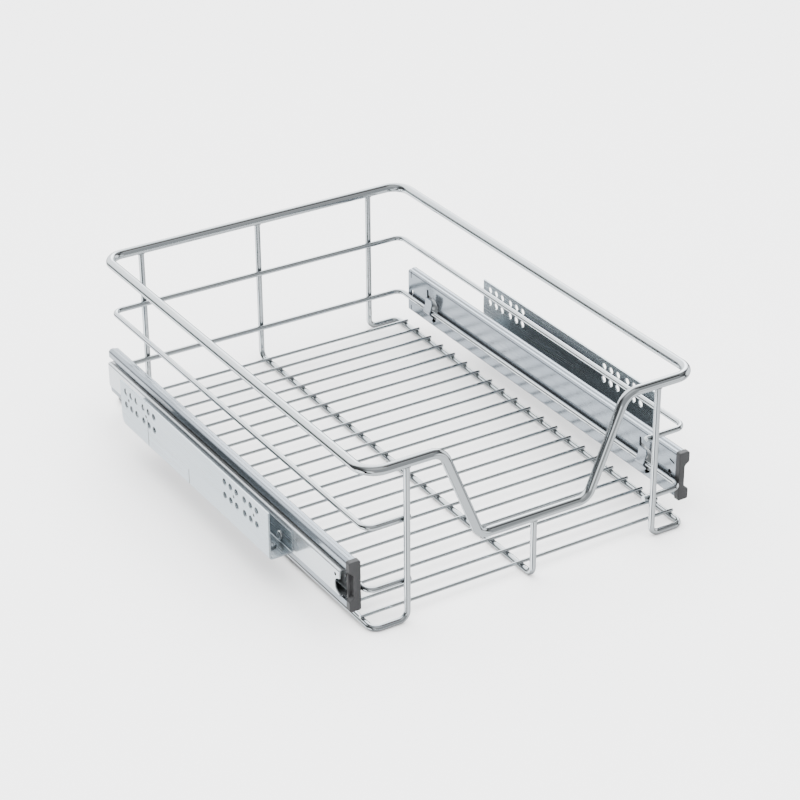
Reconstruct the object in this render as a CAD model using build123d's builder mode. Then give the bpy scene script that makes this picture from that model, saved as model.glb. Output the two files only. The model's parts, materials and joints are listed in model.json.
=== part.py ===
from build123d import *
import math
import os

# Pull-out wire basket for a kitchen cabinet: a welded wire basket carried by two three-member
# ball-bearing runners, each riveted to a side bracket that is screwed to the cabinet wall.
# Millimetres. +X right, +Y to the back of the cabinet, +Z up. The origin is on the floor plane
# under the middle of the basket, whose bottom wires are the lowest point.

# ---- Basket: wire diameters -------------------------------------------------------------------
rim_dia = 8.0
frame_dia = 5.0
loop_dia = 4.5
floor_dia = 2.8

# ---- Basket: outline, on the rim's centreline -------------------------------------------------
basket_height = 140.0
rim_width = 293.0
rim_depth = 430.0
rim_corner = 16.0

# The dip in the rim's front, where a hand reaches in.
dip_top_width = 164.4
dip_bar_width = 97.8
dip_depth = 81.2
dip_upper_bend = 14.0
dip_lower_bend = 12.0

# ---- Basket: guard loops and frame wires ------------------------------------------------------
middle_loop_z = 87.0
lower_loop_z = 33.5
middle_loop_inset = 2.3  # how far each side run lies inside the rim's centreline
lower_loop_inset = 3.2
bottom_run_inset = 4.1
loop_corner = 8.0
loop_end_overhang = 3.0  # each front end runs this far past its post
post_spacing = 225.0
frame_bend = 7.0
floor_count = 21
floor_margin = 15.0  # from the rim's centreline to the first floor wire
floor_overhang = 2.2  # past the centreline of the outer bottom runs
weld_gap = 0.02  # between two wires at a weld

# ---- Runners: sheets, lengths and heights -----------------------------------------------------
rail_sheet = 1.2
middle_sheet = 0.9
cage_sheet = 0.6
rail_height = 42.0
rail_depth = 9.5
rail_set_back = 15.0  # each rail end lies this far inside the rim's centreline
rail_above_loop = 4.1  # runner's centre height over the lower loop's centreline
rail_lip = 7.2
rail_bend = 2.4
web_bend = 1.4
flange_step = 0.8  # the ball track stands this much proud of the flange's inner half
flange_step_bend = 0.8
middle_rail_trim = 4.0  # the intermediate rail ends this much short of each drawer rail end
cabinet_rail_trim = 5.0
cabinet_rail_proud = 3.5  # its back stands this much past the drawer rail's lips
inner_bend = 1.4
ball_dia = 3.0
ball_count = 7
ball_pitch = 29.0
cage_length = 200.0
ball_pocket_gap = 0.1
run_gap = 0.3  # between pieces that run past each other
wire_seat_gap = 0.3  # between the lower loop and the rail that carries it

# ---- Drawer rail: hooks, windows and holes ----------------------------------------------------
hook_from_rear = 28.5
hook_from_front = 51.0
finger_top = 9.7  # height of the finger's free end over the runner's centre
finger_root = 11.5  # how far below the runner's centre it leaves the web
finger_slant = 45.0  # degrees from upright, where it leaves the web
finger_strip = 25.0  # length of the strip that it is cut from
stop_slot_length = 6.0
stop_slot_width = 1.2
stop_slot_from_end = 4.7
stop_slot_rise = 16.5
locating_hole_dia = 4.5
locating_hole_from_end = 7.0
front_slot_length = 6.5
front_slot_width = 1.6
front_slot_from_end = 5.0
front_slot_rise = 10.7
front_slot_tilt = 14.0

# ---- End cap ----------------------------------------------------------------------------------
cap_length = 5.0
cap_proud = 0.4  # stands this much past the rail above, below and outside, flush on the basket side
cap_bulge = 9.0  # height of each thick end
cap_waist = 5.6  # depth of the narrow middle
cap_round = 1.6
cap_tongue = 2.5
cap_tongue_gap = 0.2

# ---- Cabinet rail -----------------------------------------------------------------------------
nose_notch_radius = 6.5
nose_notch_drop = 2.5
nose_hole_dia = 3.0
nose_hole_from_end = 5.5
nose_hole_rise = 6.0

# ---- Bracket ----------------------------------------------------------------------------------
bracket_sheet = 1.5
bracket_reach = 34.15  # from the runner's inner face to the bracket's outer face
bracket_height = 41.0
bracket_shift = -1.0  # bracket centre, along Y
bracket_drop = 9.0  # bottom face below the runner's centre
inner_plate_height = 18.0
bracket_bend = 2.2
bracket_rear_round = 10.0
screw_hole_dia = 6.0
pilot_hole_dia = 2.6
screw_hole_pitch = 9.6
triplet_step = 32.0
screw_row_height = 22.2  # lower row over the bracket's bottom face
screw_row_spacing = 12.0
screw_group_span = 224.0
screw_rear_margin = 10.0  # from the bracket's rear end to the first screw column
screw_front_margin = 18.0
crease_width = 0.8
crease_depth = 0.5
crease_spacing = 72.0
crease_from_rear = 49.0
tall_crease = 24.0
short_crease = 13.0
window_length = 7.0
window_width = 2.6
window_pitch = 20.0
window_count = 3
window_rear_margin = 55.0
upright_slot_length = 9.0
upright_slot_width = 3.0
upright_slot_from_front = 35.0
drain_hole_dia = 5.0
drain_from_front = 16.0
drain_collar_dia = 9.6
drain_collar_height = 2.0

# ---- Rivets -----------------------------------------------------------------------------------
rivet_shank_dia = 4.0
rivet_head_dia = 7.5
rivet_head_height = 1.8
rivet_dome = 0.7  # share of the head's height that is rounded over
rivet_bore_dia = 3.6
rivet_bore_depth = 2.4
rivet_tail_dia = 6.0
rivet_tail_height = 0.9
rivet_end_margin = 18.0
rivet_drop = 2.0
rivet_gap = 0.05

# ---- Worked out from the sizes above ----------------------------------------------------------
front_y = -rim_depth / 2
back_y = rim_depth / 2
rim_z = basket_height - rim_dia / 2
dip_z = rim_z - dip_depth
bottom_z = frame_dia / 2
bottom_run_x = rim_width / 2 - bottom_run_inset
loop_y = rim_depth / 2 - frame_dia / 2 - loop_dia / 2 - weld_gap
loop_end_x = post_spacing / 2 - frame_dia / 2 - loop_end_overhang
floor_z = frame_dia + weld_gap + floor_dia / 2
floor_pitch = (rim_depth - 2 * floor_margin) / (floor_count - 1)
lower_loop_x = rim_width / 2 - lower_loop_inset

rail_x = lower_loop_x + loop_dia / 2 + wire_seat_gap  # inner face of the right drawer rail
rail_z = lower_loop_z + rail_above_loop
rail_length = rim_depth - 2 * rail_set_back
rail_front_y = -rail_length / 2
rail_rear_y = rail_length / 2
track_rise = rail_height / 2 - rail_sheet  # inner face of the drawer rail's ball track
lip_face = rail_depth - rail_sheet  # inner face of its lips
outer_ball_rise = track_rise - run_gap - ball_dia / 2
outer_ball_out = lip_face - run_gap - ball_dia / 2
outer_cage_out = rail_sheet + run_gap
middle_rise = outer_ball_rise - ball_dia / 2 - run_gap  # outer face of the intermediate flanges
middle_out = outer_cage_out + cage_sheet + run_gap  # inner face of the intermediate web
middle_reach = lip_face - run_gap  # where its flanges end
inner_ball_rise = middle_rise - middle_sheet - run_gap - ball_dia / 2
inner_cage_out = middle_out + middle_sheet + run_gap
cabinet_rise = inner_ball_rise - ball_dia / 2 - run_gap  # outer face of the cabinet flanges
cabinet_in = inner_cage_out + cage_sheet + run_gap  # where its flanges end
cabinet_out = rail_depth + cabinet_rail_proud  # outer face of its web
inner_ball_out = (cabinet_in + middle_reach) / 2

bracket_x = rail_x + bracket_reach
bracket_length = screw_group_span + screw_rear_margin + screw_front_margin
bracket_bottom = rail_z - bracket_drop
bracket_front_y = bracket_shift - bracket_length / 2
bracket_rear_y = bracket_shift + bracket_length / 2
plate_x = rail_x + cabinet_out  # where the bracket meets the cabinet rail
rivet_ys = [
    bracket_front_y + rivet_end_margin,
    bracket_shift,
    bracket_rear_y - rivet_end_margin,
]


def section_plane(y):
    """Cross-section plane of the right runner: local x points outward, local y up, normal to the front."""
    return Plane(origin=(rail_x, y, rail_z), x_dir=(1, 0, 0), z_dir=(0, -1, 0))


def web_plane(x):
    """Side-view plane at a given x: local x points to the back, local y up, normal outward."""
    return Plane(origin=(x, 0, rail_z), x_dir=(0, 1, 0), z_dir=(1, 0, 0))


def bent_wire(diameter, points, bends):
    """One round wire that follows straight runs joined by bends."""
    with BuildPart() as wire:
        with BuildLine() as route:
            FilletPolyline(*points, radius=bends)
        with BuildSketch(Plane(origin=route.line @ 0, z_dir=route.line % 0)):
            Circle(diameter / 2)
        sweep(path=route.wires()[0])
    return wire


def top_rim():
    """Closed rim with the dip in its front, built as one half and its mirror image."""
    half_route = [
        (0, back_y, rim_z),
        (rim_width / 2, back_y, rim_z),
        (rim_width / 2, front_y, rim_z),
        (dip_top_width / 2, front_y, rim_z),
        (dip_bar_width / 2, front_y, dip_z),
        (0, front_y, dip_z),
    ]
    half = bent_wire(rim_dia, half_route, [rim_corner, rim_corner, dip_upper_bend, dip_lower_bend])
    with BuildPart() as rim:
        add(half.part)
        mirror(about=Plane.YZ)
    return rim


def guard_loop(side_x, height):
    """U-shaped wire round the basket, with its front ends turned in behind the front posts."""
    route = [
        (-loop_end_x, -loop_y, height),
        (-side_x, -loop_y, height),
        (-side_x, loop_y, height),
        (side_x, loop_y, height),
        (side_x, -loop_y, height),
        (loop_end_x, -loop_y, height),
    ]
    return bent_wire(loop_dia, route, [loop_corner] * 4)


def coped_wire(route, bends, front_top_z):
    """Frame wire whose two upper ends are hollowed to fit the rim that they are welded under."""
    wire = bent_wire(frame_dia, route, bends)
    with BuildPart() as coped:
        add(wire.part)
        for y, z in ((back_y, rim_z), (front_y, front_top_z)):
            with Locations((route[0][0], y, z)):
                Cylinder(
                    rim_dia / 2 + weld_gap,
                    2 * rim_dia,
                    rotation=(0, 90, 0),
                    mode=Mode.SUBTRACT,
                )
    return coped


def side_frame_wire():
    """Right frame wire: back post, step out, bottom run, step in, front post."""
    post_x = post_spacing / 2
    route = [
        (post_x, back_y, rim_z),
        (post_x, back_y, bottom_z),
        (bottom_run_x, back_y, bottom_z),
        (bottom_run_x, front_y, bottom_z),
        (post_x, front_y, bottom_z),
        (post_x, front_y, rim_z),
    ]
    return coped_wire(route, [frame_bend] * 4, rim_z)


def centre_frame_wire():
    """Centre frame wire: back post, bottom run and a short front post under the dip's bar."""
    route = [
        (0, back_y, rim_z),
        (0, back_y, bottom_z),
        (0, front_y, bottom_z),
        (0, front_y, dip_z),
    ]
    return coped_wire(route, [frame_bend] * 2, dip_z)


def floor_wire(index):
    """One straight floor wire on top of the three bottom runs, counted from the back."""
    y = back_y - floor_margin - index * floor_pitch
    half_length = bottom_run_x + floor_overhang
    with BuildPart() as wire:
        with BuildSketch(Plane.YZ.offset(-half_length)):
            with Locations((y, floor_z)):
                Circle(floor_dia / 2)
        extrude(amount=2 * half_length)
    return wire


def rail_section(front, length, points, bends, sheet):
    """Folded sheet rail: a traced centreline in cross-section, run back from its front end."""
    with BuildPart() as rail:
        with BuildSketch(section_plane(front)):
            with BuildLine():
                FilletPolyline(*points, radius=bends)
            trace(line_width=sheet)
        extrude(amount=-length)
    return rail


def finger_outline():
    """Side view of the finger: distance in front of the hook's line, and rise over the centre."""
    return [
        (10.4, finger_top),
        (20.2, finger_top),
        (21.0, 6.0),
        (18.4, -1.5),
        (14.6, -10.6),
        (14.4, -finger_root - rail_sheet),
        (4.4, -finger_root - rail_sheet),
        (4.8, -9.2),
        (7.8, -1.7),
        (10.2, 3.0),
    ]


def hook_window():
    """Side view of the window that the finger is punched from, measured like the finger."""
    return [
        (3.2, 13.0),
        (5.6, 13.0),
        (6.2, 8.6),
        (12.5, 7.0),
        (17.5, 6.4),
        (21.4, 2.6),
        (21.8, -1.0),
        (20.0, -7.4),
        (18.0, -13.6),
        (13.4, -16.6),
        (11.6, -15.0),
        (15.0, -finger_root + 1.4),
        (4.2, -finger_root + 1.4),
        (6.4, -2.0),
        (3.2, 4.0),
    ]


def hook_finger(hook_y):
    """Sheet finger bent out of the web below the lower loop, round its outside and up past it."""
    line_radius = loop_dia / 2 + wire_seat_gap + rail_sheet / 2
    wire_out = -(loop_dia / 2 + wire_seat_gap)
    # The slanted run passes the loop's centre at the same distance as the upright one.
    upright_out = wire_out - line_radius
    root_out = rail_sheet / 2
    corner_rise = -rail_above_loop - line_radius * math.tan(math.radians(finger_slant / 2))
    root_rise = corner_rise - (root_out - upright_out) * math.tan(math.radians(finger_slant))
    with BuildPart() as finger:
        with BuildSketch(section_plane(hook_y - finger_strip)):
            with BuildLine():
                FilletPolyline(
                    (root_out, root_rise),
                    (upright_out, corner_rise),
                    (upright_out, finger_top),
                    radius=line_radius,
                )
            trace(line_width=rail_sheet)
        extrude(amount=-finger_strip)
        with BuildSketch(web_plane(rail_x + rail_sheet)):
            with BuildLine():
                Polyline(*[(hook_y - lead, rise) for lead, rise in finger_outline()], close=True)
            make_face()
            fillet(vertices().sort_by(Axis.Z)[-2:], radius=1.0)
        extrude(amount=4 * upright_out, mode=Mode.INTERSECT)
    return finger


def drawer_rail():
    """Tallest member: carries the basket on two punched fingers and holds the outer ball rows."""
    mid = rail_sheet / 2
    flange = rail_height / 2 - mid
    step_out = rail_depth / 2
    upper = [
        (rail_depth - mid, rail_height / 2 - rail_lip),
        (rail_depth - mid, flange),
        (step_out, flange),
        (step_out - flange_step, flange - flange_step),
        (mid, flange - flange_step),
    ]
    lower = [(out, -rise) for out, rise in reversed(upper)]
    bends = [rail_bend, flange_step_bend, flange_step_bend, web_bend]
    blank = rail_section(
        rail_front_y, rail_length, upper + lower, bends + bends[::-1], rail_sheet
    )
    hook_ys = (rail_rear_y - hook_from_rear, rail_front_y + hook_from_front)
    fingers = [hook_finger(hook_y) for hook_y in hook_ys]
    with BuildPart() as rail:
        add(blank.part)
        with BuildSketch(web_plane(rail_x)):
            for hook_y in hook_ys:
                with BuildLine():
                    Polyline(*[(hook_y - lead, rise) for lead, rise in hook_window()], close=True)
                make_face()
            fillet(vertices(), radius=0.5)
            with Locations(
                (rail_rear_y - stop_slot_from_end, stop_slot_rise),
                (rail_rear_y - stop_slot_from_end, -stop_slot_rise),
            ):
                SlotOverall(stop_slot_length, stop_slot_width, rotation=90)
            with Locations((rail_front_y + front_slot_from_end, front_slot_rise)):
                SlotOverall(front_slot_length, front_slot_width, rotation=front_slot_tilt)
            with Locations(
                (rail_front_y + locating_hole_from_end, 0),
                (rail_rear_y - locating_hole_from_end, 0),
            ):
                Circle(locating_hole_dia / 2)
        extrude(amount=rail_sheet, mode=Mode.SUBTRACT)
        for finger in fingers:
            add(finger.part)
    return rail


def end_cap():
    """Plastic cap on the rail's front end: thick ends over the two tracks and a narrow waist."""
    half = rail_height / 2 + cap_proud
    waist_rise = half - cap_bulge
    outline = [
        (0, -half),
        (rail_depth + cap_proud, -half),
        (rail_depth + cap_proud, -waist_rise),
        (cap_waist, -waist_rise + 2 * cap_round),
        (cap_waist, waist_rise - 2 * cap_round),
        (rail_depth + cap_proud, waist_rise),
        (rail_depth + cap_proud, half),
        (0, half),
    ]
    tongue_in = rail_sheet + cap_tongue_gap
    with BuildPart() as cap:
        with BuildSketch(section_plane(rail_front_y)):
            with BuildLine():
                Polyline(*outline, close=True)
            make_face()
            fillet(vertices(), radius=cap_round)
        extrude(amount=cap_length)
        fillet(cap.faces().sort_by(Axis.Y)[0].edges(), radius=cap_round / 2)
        with BuildSketch(section_plane(rail_front_y)):
            with Locations((tongue_in + (lip_face - tongue_in) / 2, 0)):
                Rectangle(lip_face - tongue_in - cap_tongue_gap, 2 * middle_rise)
        extrude(amount=-cap_tongue)
    return cap


def intermediate_rail():
    """Channel between the other two members, open to the outside like the drawer rail."""
    mid = middle_sheet / 2
    points = [
        (middle_reach, middle_rise - mid),
        (middle_out + mid, middle_rise - mid),
        (middle_out + mid, mid - middle_rise),
        (middle_reach, mid - middle_rise),
    ]
    front = rail_front_y + middle_rail_trim
    length = rail_length - 2 * middle_rail_trim
    blank = rail_section(front, length, points, [inner_bend] * 2, middle_sheet)
    with BuildPart() as rail:
        add(blank.part)
        with BuildSketch(web_plane(rail_x + middle_out)):
            with Locations(
                (front + locating_hole_from_end, 0), (front + length - locating_hole_from_end, 0)
            ):
                Circle(locating_hole_dia / 2)
        extrude(amount=middle_sheet, mode=Mode.SUBTRACT)
    return rail


def cabinet_rail():
    """Smallest member, riveted to the bracket, open towards the other two."""
    mid = rail_sheet / 2
    points = [
        (cabinet_in, cabinet_rise - mid),
        (cabinet_out - mid, cabinet_rise - mid),
        (cabinet_out - mid, mid - cabinet_rise),
        (cabinet_in, mid - cabinet_rise),
    ]
    front = rail_front_y + cabinet_rail_trim
    length = rail_length - 2 * cabinet_rail_trim
    blank = rail_section(front, length, points, [inner_bend] * 2, rail_sheet)
    with BuildPart() as rail:
        add(blank.part)
        with BuildSketch(web_plane(rail_x + cabinet_out)):
            with Locations((front, -nose_notch_drop)):
                Circle(nose_notch_radius)
            with Locations((front + nose_hole_from_end, nose_hole_rise)):
                Circle(nose_hole_dia / 2)
            with Locations(*[(y, -rivet_drop) for y in rivet_ys]):
                Circle(rivet_shank_dia / 2 + rivet_gap)
        extrude(amount=-rail_sheet, mode=Mode.SUBTRACT)
    return rail


def ball_row_ys():
    """Positions of the balls along one row, centred on the cage."""
    return [(index - (ball_count - 1) / 2) * ball_pitch for index in range(ball_count)]


def ball_cage(web_out, reach, ball_out, ball_rise):
    """Thin channel that spaces the two ball rows, with a round pocket for each ball."""
    mid = cage_sheet / 2
    points = [
        (reach, ball_rise),
        (web_out + mid, ball_rise),
        (web_out + mid, -ball_rise),
        (reach, -ball_rise),
    ]
    blank = rail_section(-cage_length / 2, cage_length, points, [inner_bend] * 2, cage_sheet)
    with BuildPart() as cage:
        add(blank.part)
        with BuildSketch(Plane.XY.offset(rail_z - rail_height / 2)):
            with Locations(*[(rail_x + ball_out, y) for y in ball_row_ys()]):
                Circle(ball_dia / 2 + ball_pocket_gap)
        extrude(amount=rail_height, mode=Mode.SUBTRACT)
    return cage


def ball_set(ball_out, ball_rise):
    """The steel balls of one cage, in an upper and a lower row."""
    with BuildPart() as balls:
        for rise in (ball_rise, -ball_rise):
            with Locations(*[(rail_x + ball_out, y, rail_z + rise) for y in ball_row_ys()]):
                Sphere(ball_dia / 2)
    return balls


def screw_hole_columns():
    """Y of every screw hole column, and Y of the pilot hole of each triplet."""
    rear = bracket_rear_y - screw_rear_margin
    front = rear - screw_group_span
    columns, pilots = [], []
    for end, inward in ((rear, -1), (front, 1)):
        for triplet in range(2):
            first = end + inward * triplet * triplet_step
            columns += [first + inward * hole * screw_hole_pitch for hole in range(3)]
            pilots.append(first + inward * screw_hole_pitch / 2)
    return columns, pilots


def side_bracket():
    """Folded channel: inner plate on the cabinet rail, floor, and outer plate for the cabinet wall."""
    mid = bracket_sheet / 2
    inner = cabinet_out + mid
    outer = bracket_reach - mid
    floor = mid - bracket_drop
    points = [
        (inner, inner_plate_height - bracket_drop),
        (inner, floor),
        (outer, floor),
        (outer, bracket_height - bracket_drop),
    ]
    blank = rail_section(
        bracket_front_y, bracket_length, points, [bracket_bend] * 2, bracket_sheet
    )
    columns, pilots = screw_hole_columns()
    lower_row = screw_row_height - bracket_drop
    upper_row = lower_row + screw_row_spacing
    rear_floor = (bracket_rear_y, -bracket_drop)
    with BuildPart() as bracket:
        add(blank.part)
        # Rounded lower corner at the rear end.
        with BuildSketch(web_plane(rail_x)):
            with Locations(rear_floor):
                Rectangle(2 * bracket_rear_round, 2 * bracket_rear_round)
            with Locations((rear_floor[0] - bracket_rear_round, rear_floor[1] + bracket_rear_round)):
                Circle(bracket_rear_round, mode=Mode.SUBTRACT)
        extrude(amount=bracket_reach, mode=Mode.SUBTRACT)
        # Screw and pilot holes in the outer plate.
        with BuildSketch(web_plane(bracket_x)):
            with Locations(*[(y, row) for y in columns for row in (lower_row, upper_row)]):
                Circle(screw_hole_dia / 2)
            with Locations(*[(y, (lower_row + upper_row) / 2) for y in pilots]):
                Circle(pilot_hole_dia / 2)
        extrude(amount=-bracket_sheet, mode=Mode.SUBTRACT)
        # Two pressed creases in the outer plate.
        with BuildSketch(web_plane(bracket_x)):
            for index, height in enumerate((tall_crease, short_crease)):
                crease_y = bracket_rear_y - crease_from_rear - index * crease_spacing
                with Locations((crease_y, bracket_bend + height / 2 - bracket_drop)):
                    Rectangle(crease_width, height)
        extrude(amount=-crease_depth, mode=Mode.SUBTRACT)
        # Rivet holes, windows and an upright slot in the inner plate.
        with BuildSketch(web_plane(plate_x)):
            with Locations(*[(y, -rivet_drop) for y in rivet_ys]):
                Circle(rivet_shank_dia / 2 + rivet_gap)
            for index in range(window_count):
                window_y = bracket_rear_y - window_rear_margin - index * window_pitch
                with Locations((window_y, inner_plate_height - bracket_drop - 2 * window_width)):
                    SlotOverall(window_length, window_width)
            with Locations((bracket_front_y + upright_slot_from_front, 0)):
                SlotOverall(upright_slot_length, upright_slot_width, rotation=90)
        extrude(amount=bracket_sheet, mode=Mode.SUBTRACT)
        # Drain hole in the floor, with the collar that its punch draws up.
        drain_spot = ((plate_x + bracket_sheet + bracket_x) / 2, bracket_front_y + drain_from_front)
        with BuildSketch(Plane.XY.offset(bracket_bottom + bracket_sheet)):
            with Locations(drain_spot):
                Circle(drain_collar_dia / 2)
        extrude(amount=drain_collar_height, taper=12)
        with BuildSketch(Plane.XY.offset(bracket_bottom)):
            with Locations(drain_spot):
                Circle(drain_hole_dia / 2)
        extrude(amount=bracket_sheet + drain_collar_height, mode=Mode.SUBTRACT)
    return bracket


def rivet_set():
    """Hollow rivets through the bracket and the cabinet rail: bored domed head, flat tail inside."""
    spots = [(y, -rivet_drop) for y in rivet_ys]
    head_x = plate_x + bracket_sheet
    tail_x = plate_x - rail_sheet
    with BuildPart() as rivets:
        with BuildSketch(web_plane(head_x)):
            with Locations(*spots):
                Circle(rivet_head_dia / 2)
        extrude(amount=rivet_head_height)
        fillet(rivets.edges().group_by(Axis.X)[-1], radius=rivet_head_height * rivet_dome)
        with BuildSketch(web_plane(tail_x)):
            with Locations(*spots):
                Circle(rivet_shank_dia / 2)
        extrude(amount=head_x - tail_x)
        with BuildSketch(web_plane(tail_x)):
            with Locations(*spots):
                Circle(rivet_tail_dia / 2)
        extrude(amount=-rivet_tail_height)
        with BuildSketch(web_plane(head_x + rivet_head_height)):
            with Locations(*spots):
                Circle(rivet_bore_dia / 2)
        extrude(amount=-rivet_bore_depth, mode=Mode.SUBTRACT)
    return rivets


def write_piece(piece, label):
    """Label one piece and write it to its own file."""
    piece.part.label = label
    export_step(piece.part, f"parts/{label}.step")


def write_pair(right, label):
    """Write a right-hand piece and its mirror image on the left."""
    with BuildPart() as left:
        mirror(right.part, about=Plane.YZ)
    write_piece(right, f"right_{label}")
    write_piece(left, f"left_{label}")


os.makedirs("parts", exist_ok=True)

write_piece(top_rim(), "top_rim")
write_piece(guard_loop(rim_width / 2 - middle_loop_inset, middle_loop_z), "middle_guard_loop")
write_piece(guard_loop(lower_loop_x, lower_loop_z), "lower_guard_loop")
write_piece(centre_frame_wire(), "centre_frame_wire")
write_pair(side_frame_wire(), "frame_wire")
for number in range(floor_count):
    write_piece(floor_wire(number), f"floor_wire_{number + 1:02d}")

write_pair(drawer_rail(), "drawer_rail")
write_pair(end_cap(), "end_cap")
write_pair(intermediate_rail(), "intermediate_rail")
write_pair(cabinet_rail(), "cabinet_rail")
write_pair(ball_cage(outer_cage_out, middle_reach, outer_ball_out, outer_ball_rise), "drawer_ball_cage")
write_pair(ball_set(outer_ball_out, outer_ball_rise), "drawer_balls")
write_pair(ball_cage(inner_cage_out, middle_reach, inner_ball_out, inner_ball_rise), "cabinet_ball_cage")
write_pair(ball_set(inner_ball_out, inner_ball_rise), "cabinet_balls")
write_pair(side_bracket(), "side_bracket")
write_pair(rivet_set(), "bracket_rivets")
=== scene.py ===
import json
import math

import bmesh
import bpy
from mathutils import Matrix, Vector, noise


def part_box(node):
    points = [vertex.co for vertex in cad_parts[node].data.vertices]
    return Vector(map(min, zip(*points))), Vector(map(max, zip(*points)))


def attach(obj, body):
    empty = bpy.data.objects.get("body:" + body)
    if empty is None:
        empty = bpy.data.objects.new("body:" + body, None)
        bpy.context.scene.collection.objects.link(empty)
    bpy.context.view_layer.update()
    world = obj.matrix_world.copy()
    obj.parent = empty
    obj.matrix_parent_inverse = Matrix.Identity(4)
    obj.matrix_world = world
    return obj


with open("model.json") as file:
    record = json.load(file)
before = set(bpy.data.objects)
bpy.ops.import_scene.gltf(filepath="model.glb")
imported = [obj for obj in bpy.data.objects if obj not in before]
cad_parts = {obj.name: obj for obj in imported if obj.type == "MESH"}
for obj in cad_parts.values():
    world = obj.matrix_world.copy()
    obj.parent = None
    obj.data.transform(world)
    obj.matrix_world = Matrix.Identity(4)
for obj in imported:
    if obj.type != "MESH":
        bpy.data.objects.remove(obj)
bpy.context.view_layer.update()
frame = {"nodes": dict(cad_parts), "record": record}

# Looks of the pull-out wire basket: chrome wires with their welds, bright zinc runners and
# brackets, moulded plastic caps, on a pale floor in soft studio light. Metres throughout.

MM = 0.001


# ---- Places read from the frame ---------------------------------------------------------------
def middle(node):
    """Centre of a CAD node's box."""
    low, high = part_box(node)
    return Vector([(a + b) / 2 for a, b in zip(low, high)])


def size_of(node):
    """Extent of a CAD node's box."""
    low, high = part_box(node)
    return Vector([b - a for a, b in zip(low, high)])


FLOOR_WIRES = sorted(name for name in frame["nodes"] if name.startswith("floor_wire_"))
POST_RADIUS = size_of("centre_frame_wire").x / 2
RIM_RADIUS = 4 * MM
RIM_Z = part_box("top_rim")[1][2] - RIM_RADIUS
DIP_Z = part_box("top_rim")[0][2] + RIM_RADIUS
POST_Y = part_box("top_rim")[1][1] - RIM_RADIUS
POST_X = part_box("right_frame_wire")[0][0] + POST_RADIUS
RUN_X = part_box("right_frame_wire")[1][0] - POST_RADIUS
RUN_TOP = 2 * POST_RADIUS


# ---- Materials --------------------------------------------------------------------------------
class Shader:
    """A node material built step by step."""

    def __init__(self, name):
        self.material = bpy.data.materials.new(name)
        self.material.use_nodes = True
        self.tree = self.material.node_tree
        self.surface = self.tree.nodes["Principled BSDF"]

    def node(self, kind, **settings):
        made = self.tree.nodes.new(kind)
        for key, value in settings.items():
            setattr(made, key, value)
        return made

    def link(self, source, target):
        self.tree.links.new(source, target)

    def feed(self, socket, source):
        """Links an output to one of the surface's own sockets."""
        self.link(source, self.surface.inputs[socket])

    def set(self, **values):
        for key, value in values.items():
            self.surface.inputs[key.replace("_", " ")].default_value = value

    def noise(self, scale, detail=3.0, roughness=0.5, stretch=(1, 1, 1)):
        """Noise in the object's own coordinates, stretched along one or more axes."""
        place = self.node("ShaderNodeTexCoord")
        mapping = self.node("ShaderNodeMapping")
        mapping.inputs["Scale"].default_value = stretch
        self.link(place.outputs["Object"], mapping.inputs["Vector"])
        made = self.node("ShaderNodeTexNoise")
        made.inputs["Scale"].default_value = scale
        made.inputs["Detail"].default_value = detail
        made.inputs["Roughness"].default_value = roughness
        self.link(mapping.outputs["Vector"], made.inputs["Vector"])
        return made.outputs["Fac"]

    def ranged(self, source, low, high, start=0.3, stop=0.7):
        """A value that runs from low to high as source runs from start to stop."""
        made = self.node("ShaderNodeMapRange")
        made.inputs["From Min"].default_value = start
        made.inputs["From Max"].default_value = stop
        made.inputs["To Min"].default_value = low
        made.inputs["To Max"].default_value = high
        self.link(source, made.inputs["Value"])
        return made.outputs["Result"]

    def two_tone(self, source, tones):
        """Colour that runs between two tones."""
        made = self.node("ShaderNodeMix", data_type="RGBA")
        made.inputs[6].default_value = (*tones[0], 1.0)
        made.inputs[7].default_value = (*tones[1], 1.0)
        self.link(self.ranged(source, 0, 1), made.inputs[0])
        return made.outputs[2]

    def painted_gap_shade(self, colour, reach, darkest, closed, clear):
        """Painted shade: darkens a colour where other surfaces come near, as shade falls in gaps,
        channels and crevices.
        """
        near = self.node("ShaderNodeAmbientOcclusion", samples=6)
        near.inputs["Distance"].default_value = reach
        # The multiply mix paints shade into the colour wherever the ambient occlusion is low.
        painted_shade = self.node("ShaderNodeMix", data_type="RGBA", blend_type="MULTIPLY")
        painted_shade.inputs[7].default_value = (darkest, darkest, darkest, 1.0)
        self.link(self.ranged(near.outputs["AO"], 1.0, 0.0, closed, clear), painted_shade.inputs[0])
        self.link(colour, painted_shade.inputs[6])
        return painted_shade.outputs[2]

    def bump(self, height, strength, distance, under=None):
        """Bump from a height, on top of another normal if one is given."""
        made = self.node("ShaderNodeBump")
        made.inputs["Strength"].default_value = strength
        made.inputs["Distance"].default_value = distance
        self.link(height, made.inputs["Height"])
        if under is not None:
            self.link(under, made.inputs["Normal"])
        return made.outputs["Normal"]

    def soft_edges(self, radius):
        """Normal that rounds hard edges so that they catch light."""
        made = self.node("ShaderNodeBevel", samples=4)
        made.inputs["Radius"].default_value = radius
        return made.outputs["Normal"]


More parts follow.
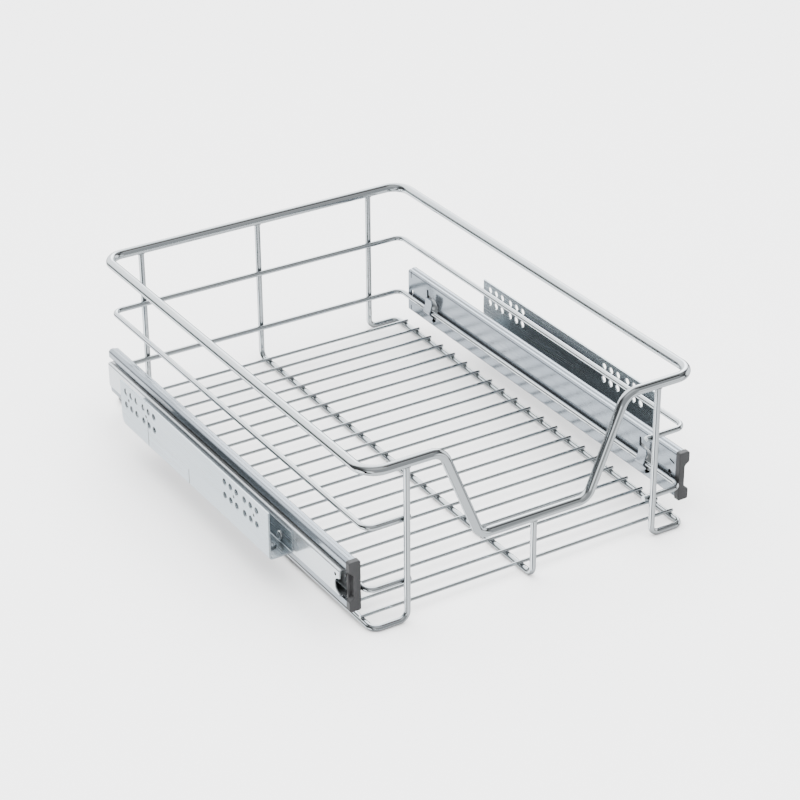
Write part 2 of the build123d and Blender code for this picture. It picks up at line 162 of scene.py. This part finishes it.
def chrome(name, tones, gloss):
    """Bright chrome on drawn wire: slight waviness, fine pitting, a little haze, and painted shade
    where the wire comes near the floor and other wires.
    """
    shader = Shader(name)
    shader.set(Metallic=1.0)
    shader.feed("Roughness", shader.ranged(shader.noise(scale=38.0, detail=4.0), *gloss))
    colour = shader.two_tone(shader.noise(scale=11.0), tones)
    # Painted shade: the colour darkens on the wires' sides and undersides within 10 mm of the floor and
    # of crossing wires.
    colour_with_painted_shade = shader.painted_gap_shade(colour, reach=10 * MM, darkest=0.12, closed=0.30, clear=0.92)
    shader.feed("Base Color", colour_with_painted_shade)
    wave = shader.bump(shader.noise(scale=120.0, detail=2.0), strength=0.10, distance=0.4 * MM)
    grain = shader.noise(scale=1600.0, detail=2.0)
    shader.feed("Normal", shader.bump(grain, strength=0.05, distance=0.05 * MM, under=wave))
    return shader.material


def zinc(name, tones, gloss, darkest, metal=0.8):
    """Bright zinc on cold-rolled sheet: rolling lines along the sheet, cloudy tone, lit edges, and
    painted shade inside channels and between the rails.
    """
    shader = Shader(name)
    shader.set(Metallic=metal)
    colour = shader.two_tone(shader.noise(scale=18.0, detail=4.0, stretch=(1, 0.35, 1)), tones)
    # Painted shade: the colour darkens inside the channels, the hook windows and between rails and
    # brackets, within 45 mm.
    colour_with_painted_shade = shader.painted_gap_shade(colour, reach=45 * MM, darkest=darkest, closed=0.15, clear=0.75)
    shader.feed("Base Color", colour_with_painted_shade)
    lines = shader.noise(scale=900.0, roughness=0.6, stretch=(1, 0.012, 1))
    shader.feed("Roughness", shader.ranged(lines, *gloss))
    edges = shader.soft_edges(0.35 * MM)
    rolled = shader.bump(lines, strength=0.06, distance=0.05 * MM, under=edges)
    waves = shader.noise(scale=26.0, detail=2.0, stretch=(1, 0.25, 1))
    shader.feed("Normal", shader.bump(waves, strength=0.045, distance=0.6 * MM, under=rolled))
    return shader.material


def polished_steel(name, tones, gloss):
    """Plain steel of rivets and balls, lightly scuffed."""
    shader = Shader(name)
    shader.set(Metallic=1.0)
    scuff = shader.noise(scale=420.0, detail=4.0)
    shader.feed("Roughness", shader.ranged(scuff, *gloss))
    shader.feed("Base Color", shader.two_tone(scuff, tones))
    shader.feed("Normal", shader.bump(scuff, strength=0.15, distance=0.08 * MM))
    return shader.material


def moulded_plastic(name, tones, gloss):
    """Moulded plastic with a fine spark-eroded grain and slightly lit edges."""
    shader = Shader(name)
    shader.set(Metallic=0.0)
    grain = shader.noise(scale=2600.0, detail=2.0)
    patch = shader.noise(scale=60.0)
    shader.feed("Base Color", shader.two_tone(patch, tones))
    shader.feed("Roughness", shader.ranged(patch, *gloss))
    edges = shader.soft_edges(0.5 * MM)
    shader.feed("Normal", shader.bump(grain, strength=0.35, distance=0.06 * MM, under=edges))
    return shader.material


# Each look: the tones that its surface runs between, and its least and greatest roughness.
RAIL_TONES = (0.61, 0.655, 0.685), (0.69, 0.72, 0.74)
DRAWER_RAIL_TONES = (0.285, 0.325, 0.365), (0.35, 0.385, 0.42)
BRACKET_TONES = (0.49, 0.555, 0.595), (0.565, 0.62, 0.65)
STEEL_TONES = (0.62, 0.65, 0.67), (0.74, 0.75, 0.75)
STEEL_GLOSS = 0.12, 0.30

CHROME = chrome("basket_chrome", ((0.65, 0.695, 0.72), (0.72, 0.755, 0.765)), (0.05, 0.14))
SLOT_MATERIALS = {
    "basket_chrome": CHROME,
    "runner_zinc": zinc("runner_zinc", RAIL_TONES, (0.12, 0.24), darkest=0.10),
    "bracket_zinc": zinc("bracket_zinc", BRACKET_TONES, (0.18, 0.30), darkest=0.35, metal=0.9),
    "rivet_steel": polished_steel("rivet_steel", STEEL_TONES, STEEL_GLOSS),
    "ball_steel": polished_steel("ball_steel", STEEL_TONES, STEEL_GLOSS),
    "cap_grey_plastic": moulded_plastic(
        "cap_grey_plastic", ((0.022, 0.0225, 0.0235), (0.030, 0.0305, 0.032)), (0.38, 0.52)
    ),
    "cage_black_plastic": moulded_plastic(
        "cage_black_plastic", ((0.012, 0.012, 0.013), (0.02, 0.02, 0.021)), (0.35, 0.5)
    ),
}
# Two of each runner's three rails have a material of their own: the drawer rail a darker tone, and the
# intermediate rail a lighter copy of the runner zinc, painted light.
RAIL_MATERIALS = {
    "drawer_rail": zinc("drawer_rail_zinc", DRAWER_RAIL_TONES, (0.12, 0.22), darkest=0.12),
    # Painted light: almost none of the painted gap shade and less metal, so the web reads light through
    # the notch at the front.
    "intermediate_rail": zinc("middle_rail_zinc_lightened", RAIL_TONES, (0.12, 0.24), darkest=0.9, metal=0.6),
}


def dress_nodes():
    """Gives every CAD node its rail's material, or else that of its slot in the record."""
    for part in frame["record"]["subparts"]:
        target = frame["nodes"][part["node"]]
        target.data.materials.clear()
        without_side = part["node"].partition("_")[2]
        own = RAIL_MATERIALS.get(without_side)
        target.data.materials.append(own or SLOT_MATERIALS[part["material_slot"]])


# ---- Welds ------------------------------------------------------------------------------------
FLOOR_NUGGET = (1.7 * MM, 1.5 * MM, 0.75 * MM)  # half sizes
LOOP_NUGGET = (1.5 * MM, 0.7 * MM, 1.7 * MM)
NUGGET_UNEVENNESS = 0.10
RIM_BEAD = 0.75 * MM  # radius
BEAD_UNEVENNESS = 0.18


def chrome_piece(name, build):
    """Makes one smooth chrome piece of the basket from a function that fills a bmesh."""
    work = bmesh.new()
    build(work)
    for face in work.faces:
        face.smooth = True
    data = bpy.data.meshes.new(name)
    work.to_mesh(data)
    work.free()
    data.materials.append(CHROME)
    made = bpy.data.objects.new(name, data)
    bpy.context.scene.collection.objects.link(made)
    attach(made, "basket")


def add_nugget(work, centre, half, seed):
    """One squashed, slightly uneven bead of weld metal."""
    made = bmesh.ops.create_icosphere(work, subdivisions=2, radius=1.0)
    for vertex in made["verts"]:
        lump = noise.noise(vertex.co * 1.7 + Vector((seed, 0.3, 0.7)))
        swell = 1 + NUGGET_UNEVENNESS * lump
        vertex.co = Vector(centre) + Vector([c * h * swell for c, h in zip(vertex.co, half)])


def add_saddle(work, centre, post_radius, bar_radius, bead, seed, rings=28, sides=8):
    """Weld bead round the top of a post, following the underside of the bar it meets."""
    up = Vector((0, 0, 1))
    loops = []
    for ring in range(rings):
        angle = 2 * math.pi * ring / rings
        across = post_radius * math.sin(angle)
        drop = math.sqrt(bar_radius**2 - across**2)
        spot = Vector((post_radius * math.cos(angle), across, -drop)) + Vector(centre)
        outward = Vector((math.cos(angle), math.sin(angle), 0))
        lump = noise.noise(Vector((4 * math.cos(angle), 4 * math.sin(angle), seed)))
        thick = bead * (1 + BEAD_UNEVENNESS * lump)
        loop = []
        for side in range(sides):
            turn = 2 * math.pi * side / sides
            loop.append(work.verts.new(spot + thick * (outward * math.cos(turn) + up * math.sin(turn))))
        loops.append(loop)
    for ring in range(rings):
        here, there = loops[ring], loops[(ring + 1) % rings]
        for side in range(sides):
            after = (side + 1) % sides
            work.faces.new((here[side], there[side], there[after], here[after]))


def floor_welds(work):
    """A nugget wherever a floor wire crosses one of the three bottom runs."""
    for index, name in enumerate(FLOOR_WIRES):
        y = middle(name).y
        for column, x in enumerate((-RUN_X, 0, RUN_X)):
            add_nugget(work, (x, y, RUN_TOP), FLOOR_NUGGET, seed=3 * index + column)


def loop_welds(work):
    """A nugget wherever a guard loop touches a post."""
    for row, loop in enumerate(("middle_guard_loop", "lower_guard_loop")):
        z = middle(loop).z
        for column, x in enumerate((-POST_X, 0, POST_X)):
            back = (x, POST_Y - POST_RADIUS, z)
            add_nugget(work, back, LOOP_NUGGET, seed=10 * row + column)
        for column, x in enumerate((-POST_X, POST_X)):
            front = (x, POST_RADIUS - POST_Y, z)
            add_nugget(work, front, LOOP_NUGGET, seed=10 * row + column + 5)


def rim_welds(work):
    """A bead round the top of every post."""
    tops = [(x, POST_Y, RIM_Z) for x in (-POST_X, 0, POST_X)]
    tops += [(-POST_X, -POST_Y, RIM_Z), (POST_X, -POST_Y, RIM_Z), (0, -POST_Y, DIP_Z)]
    for index, top in enumerate(tops):
        add_saddle(work, top, POST_RADIUS, RIM_RADIUS, RIM_BEAD, seed=index)


# ---- Studio -----------------------------------------------------------------------------------
FLOOR_SIZE = 30.0
FLOOR_TONE = 0.93
LAMP_HEIGHT = 2.0
LAMP_OFFSET = 0.1  # from the object's middle, to the right and to the back
LAMP_SIZE = 6.0
LAMP_POWER = 600.0  # watts
ROOM_TINT = (0.985, 1.0, 1.02, 1.0)
ROOM_LEVEL = 0.08  # the room between the lit panels
BACKDROP_LEVEL = 3.0  # the pale backdrop beyond the floor
# Lit panels far round the object: direction, cosines where each begins and is full, brightness.
PANELS = (
    ((0.62, 0.66, 0.42), 0.930, 0.995, 4.0),  # window behind on the right
    ((0.00, 0.83, 0.56), 0.62, 0.88, 2.3),  # wall behind
    ((0.00, 0.00, -1.00), 0.26, 0.46, 1.2),  # table
    ((-0.40, 0.70, -0.60), 0.90, 0.985, 1.6),  # lit end of the table
    ((-0.88, 0.02, -0.48), 0.93, 0.985, 2.4),  # bright card on the left
    ((-0.72, -0.51, -0.48), 0.950, 0.985, -1.1),  # dark strip beside the card
    ((0.85, -0.20, -0.48), 0.92, 0.98, -0.25),  # dark corner on the right
    ((1.00, 0.05, 0.06), 0.86, 0.95, 1.6),  # lit wall on the right
    ((-0.70, -0.70, -0.10), 0.95, 0.985, 1.2),  # card in front on the left
    ((0.70, -0.70, -0.10), 0.95, 0.985, 1.2),  # card in front on the right
    ((0.00, 0.00, 1.00), 0.50, 0.90, 0.35),  # ceiling
    ((0.46, -0.27, 0.85), 0.965, 0.990, -0.36),  # dark beam across the ceiling
    ((-0.15, -0.92, 0.36), 0.40, 0.80, 0.35),  # room in front
)
CAMERA_PLACE = Vector((-0.89025, -1.48004, 0.98915))
CAMERA_TARGET = Vector((0.00756, -0.01006, 0.05837))
CAMERA_ROLL = math.radians(-0.404)
CAMERA_LENS = 107.55  # millimetres, as is the sensor
CAMERA_SENSOR = 36.0


def studio_floor():
    """Pale floor, far larger than the view."""
    shader = Shader("studio_floor")
    shader.set(Base_Color=(FLOOR_TONE, FLOOR_TONE, FLOOR_TONE, 1.0), Roughness=0.9)
    bpy.ops.mesh.primitive_plane_add(size=FLOOR_SIZE, location=(0, 0, 0))
    floor = bpy.context.object
    floor.name = "studio_floor"
    floor.data.materials.append(shader.material)
    floor.visible_glossy = False  # the metal mirrors the panels instead


def overhead_softbox():
    """Square area light that faces straight down, and that the metal doesn't mirror."""
    data = bpy.data.lights.new("overhead_softbox", "AREA")
    data.shape = "RECTANGLE"
    data.size = data.size_y = LAMP_SIZE
    data.energy = LAMP_POWER
    lamp = bpy.data.objects.new("overhead_softbox", data)
    lamp.location = (LAMP_OFFSET, LAMP_OFFSET, LAMP_HEIGHT)
    lamp.visible_glossy = False
    lamp.rotation_euler = Vector((0, 0, -1)).to_track_quat("-Z", "Y").to_euler()
    bpy.context.scene.collection.objects.link(lamp)


def surroundings():
    """World light: a dim room with broad lit panels, which the bright metal mirrors."""
    world = bpy.data.worlds.new("studio")
    bpy.context.scene.world = world
    world.use_nodes = True
    tree = world.node_tree
    place = tree.nodes.new("ShaderNodeTexCoord")
    total = None
    for direction, start, stop, level in PANELS:
        facing = tree.nodes.new("ShaderNodeVectorMath")
        facing.operation = "DOT_PRODUCT"
        facing.inputs[1].default_value = Vector(direction).normalized()
        tree.links.new(place.outputs["Generated"], facing.inputs[0])
        fade = tree.nodes.new("ShaderNodeMapRange")
        fade.interpolation_type = "SMOOTHSTEP"
        fade.inputs["From Min"].default_value = start
        fade.inputs["From Max"].default_value = stop
        fade.inputs["To Max"].default_value = level
        tree.links.new(facing.outputs["Value"], fade.inputs["Value"])
        joined = tree.nodes.new("ShaderNodeMath")
        joined.operation = "ADD"
        joined.inputs[1].default_value = ROOM_LEVEL
        if total is not None:
            tree.links.new(total, joined.inputs[1])
        tree.links.new(fade.outputs["Result"], joined.inputs[0])
        total = joined.outputs["Value"]
    background = tree.nodes["Background"]
    background.inputs["Color"].default_value = ROOM_TINT
    tree.links.new(total, background.inputs["Strength"])
    backdrop = tree.nodes.new("ShaderNodeBackground")
    backdrop.inputs["Strength"].default_value = BACKDROP_LEVEL
    seen = tree.nodes.new("ShaderNodeLightPath")
    chosen = tree.nodes.new("ShaderNodeMixShader")
    tree.links.new(seen.outputs["Is Camera Ray"], chosen.inputs["Fac"])
    tree.links.new(background.outputs["Background"], chosen.inputs[1])
    tree.links.new(backdrop.outputs["Background"], chosen.inputs[2])
    tree.links.new(chosen.outputs["Shader"], tree.nodes["World Output"].inputs["Surface"])


def camera():
    """Camera solved from the photograph: long lens, slightly rolled."""
    forward = (CAMERA_TARGET - CAMERA_PLACE).normalized()
    level = forward.cross(Vector((0, 0, 1))).normalized()
    upright = level.cross(forward)
    right = math.cos(CAMERA_ROLL) * level + math.sin(CAMERA_ROLL) * upright
    up = math.cos(CAMERA_ROLL) * upright - math.sin(CAMERA_ROLL) * level
    data = bpy.data.cameras.new("camera")
    data.lens, data.sensor_width = CAMERA_LENS, CAMERA_SENSOR
    made = bpy.data.objects.new("camera", data)
    axes = Matrix((right, up, -forward)).transposed().to_4x4()
    made.matrix_world = Matrix.Translation(CAMERA_PLACE) @ axes
    bpy.context.scene.collection.objects.link(made)
    bpy.context.scene.camera = made


camera()
dress_nodes()
chrome_piece("floor_weld_nuggets", floor_welds)
chrome_piece("loop_weld_nuggets", loop_welds)
chrome_piece("rim_weld_beads", rim_welds)
studio_floor()
surroundings()
overhead_softbox()
